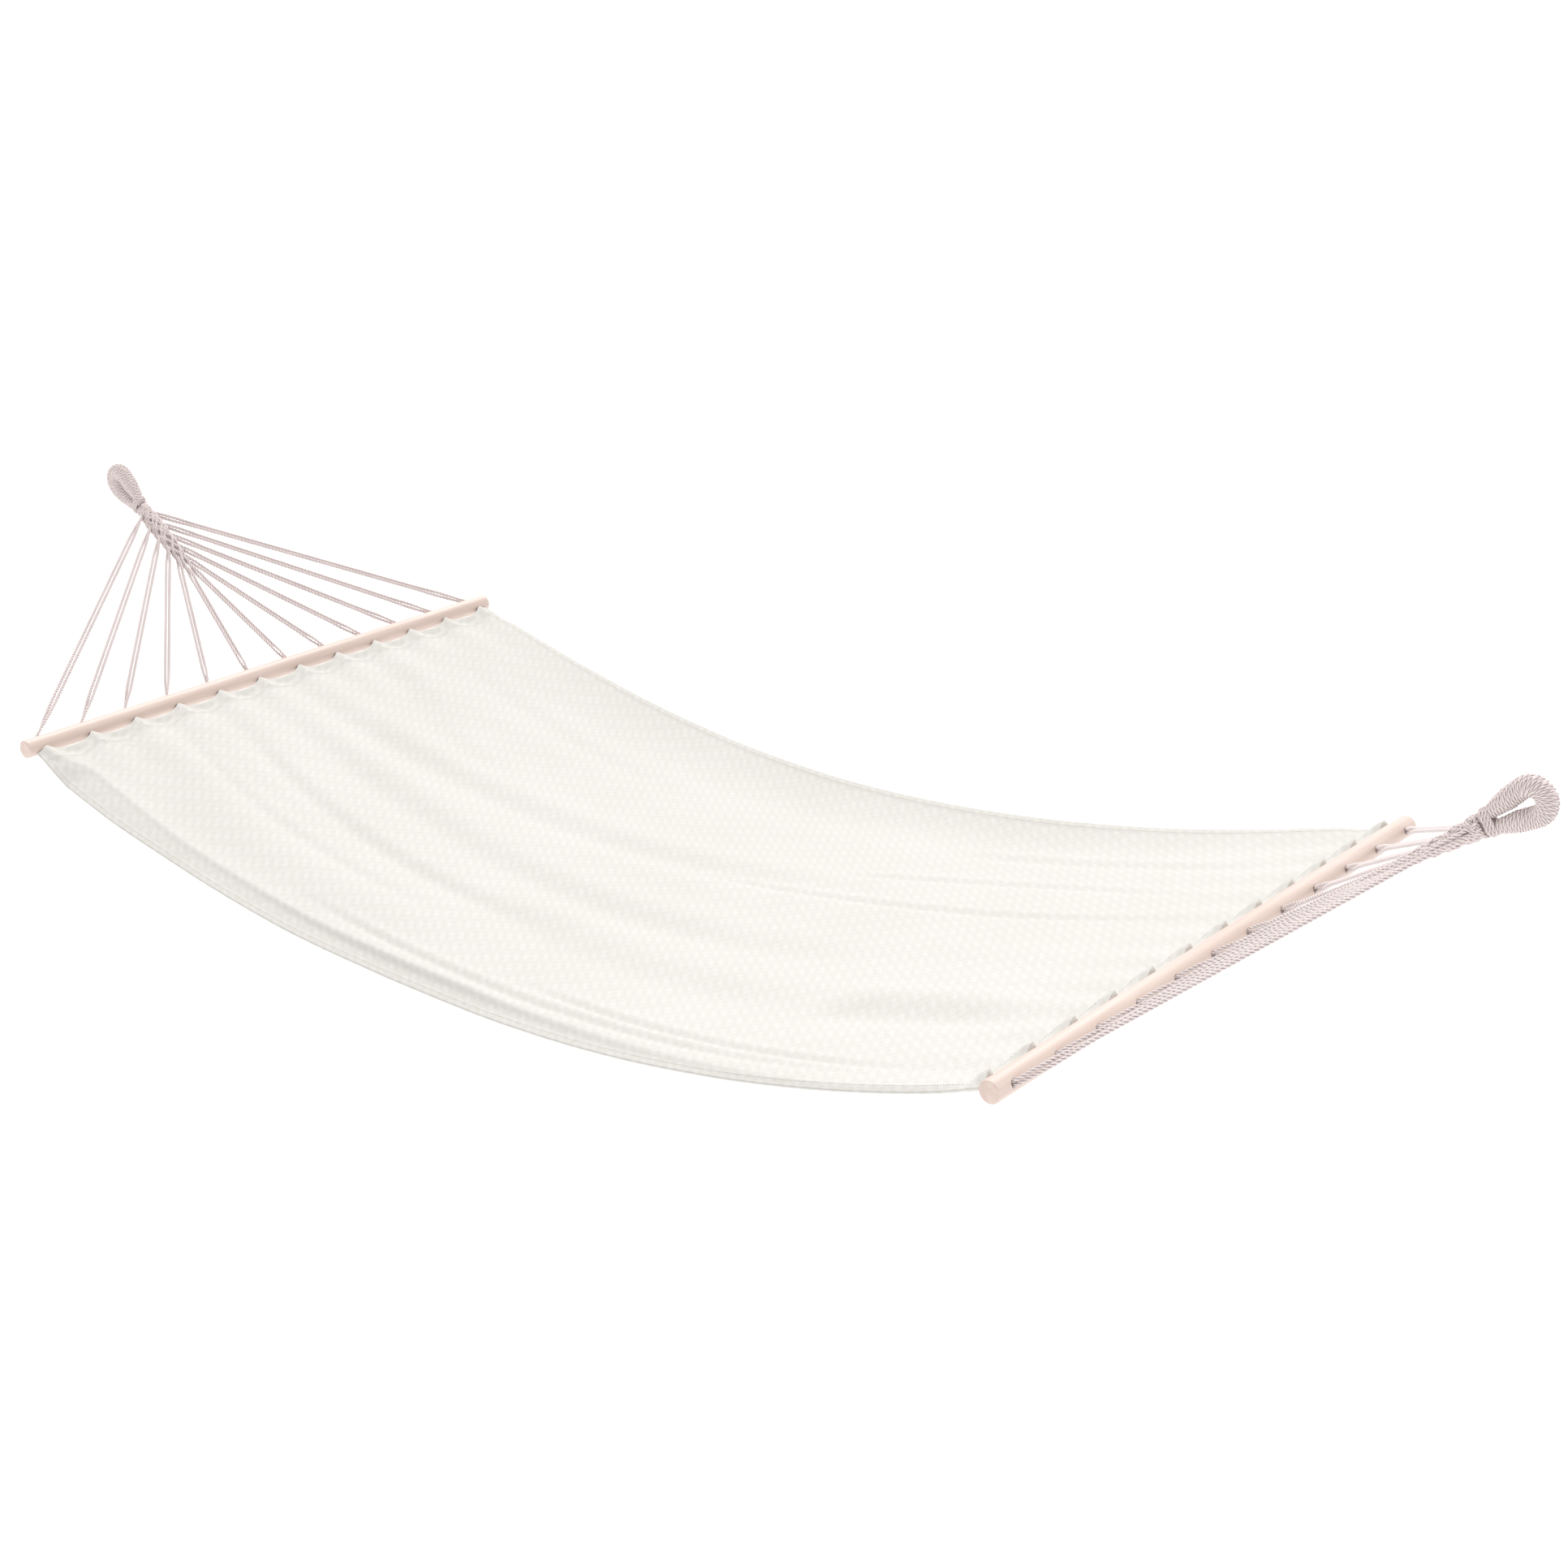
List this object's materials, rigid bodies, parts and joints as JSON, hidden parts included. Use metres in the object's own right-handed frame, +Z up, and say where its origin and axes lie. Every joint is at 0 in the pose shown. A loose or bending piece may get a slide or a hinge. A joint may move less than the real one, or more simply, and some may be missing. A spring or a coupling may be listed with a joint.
{
  "type": "spreader bar hammock",
  "caption": "Garden hammock: a woven cloth bed between two drilled wooden spreader bars, each slung by a fan of doubled cords from a whipped hanging eye.",
  "frame": {"origin": "where the left hook bears in the left eye, in the middle of the hammock's width", "axes": "+X level, from the left eye to the right eye; +Y level, across to the far side of the bed; +Z up"},
  "size_m": [2.7423, 1, 0.517],
  "materials": {
    "cotton_cloth": "woven ecru cotton, matte",
    "bar_wood": "pale turned wood, thin clear coat",
    "cotton_cord": "three-strand twisted cotton cord, matte",
    "eye_whipping": "tight wound cotton twine, matte"
  },
  "bodies": {
    "bed": {"bed_cloth": "cotton_cloth", "left_spreader_bar": "bar_wood", "right_spreader_bar": "bar_wood", "left_cord_bights": "cotton_cord", "right_cord_bights": "cotton_cord"},
    "left_clew": {"left_clew_weave": "cotton_cord", "left_clew_cord_01": "cotton_cord", "left_clew_cord_02": "cotton_cord", "left_clew_cord_03": "cotton_cord", "left_clew_cord_04": "cotton_cord", "left_clew_cord_05": "cotton_cord", "left_clew_cord_06": "cotton_cord", "left_clew_cord_07": "cotton_cord", "left_clew_cord_08": "cotton_cord", "left_clew_cord_09": "cotton_cord", "left_clew_cord_10": "cotton_cord", "left_clew_cord_11": "cotton_cord", "left_clew_cord_12": "cotton_cord"},
    "right_clew": {"right_clew_weave": "cotton_cord", "right_clew_cord_01": "cotton_cord", "right_clew_cord_02": "cotton_cord", "right_clew_cord_03": "cotton_cord", "right_clew_cord_04": "cotton_cord", "right_clew_cord_05": "cotton_cord", "right_clew_cord_06": "cotton_cord", "right_clew_cord_07": "cotton_cord", "right_clew_cord_08": "cotton_cord", "right_clew_cord_09": "cotton_cord", "right_clew_cord_10": "cotton_cord", "right_clew_cord_11": "cotton_cord", "right_clew_cord_12": "cotton_cord"},
    "left_eye": {"left_eye_core": "cotton_cord", "left_eye_whipping": "eye_whipping", "left_eye_seizing": "eye_whipping"},
    "right_eye": {"right_eye_core": "cotton_cord", "right_eye_whipping": "eye_whipping", "right_eye_seizing": "eye_whipping"}
  },
  "joints": [
    {"name": "left_clew_fold", "type": "hinge", "parent": "bed", "child": "left_clew", "pos_m": [0.39408, 0, -0.2864], "axis": [0, 1, 0], "range_deg": [0, 136]},
    {"name": "right_clew_fold", "type": "hinge", "parent": "bed", "child": "right_clew", "pos_m": [2.29408, 0, -0.2864], "axis": [0, -1, 0], "range_deg": [0, 136]},
    {"name": "left_eye_turn", "type": "hinge", "parent": "left_clew", "child": "left_eye", "pos_m": [0.05861, 0, -0.04352], "axis": [-0.8028, 0, 0.5962], "range_deg": [-90, 90]},
    {"name": "right_eye_turn", "type": "hinge", "parent": "right_clew", "child": "right_eye", "pos_m": [2.62955, 0, -0.04352], "axis": [0.8028, 0, 0.5962], "range_deg": [-90, 90]}
  ]
}
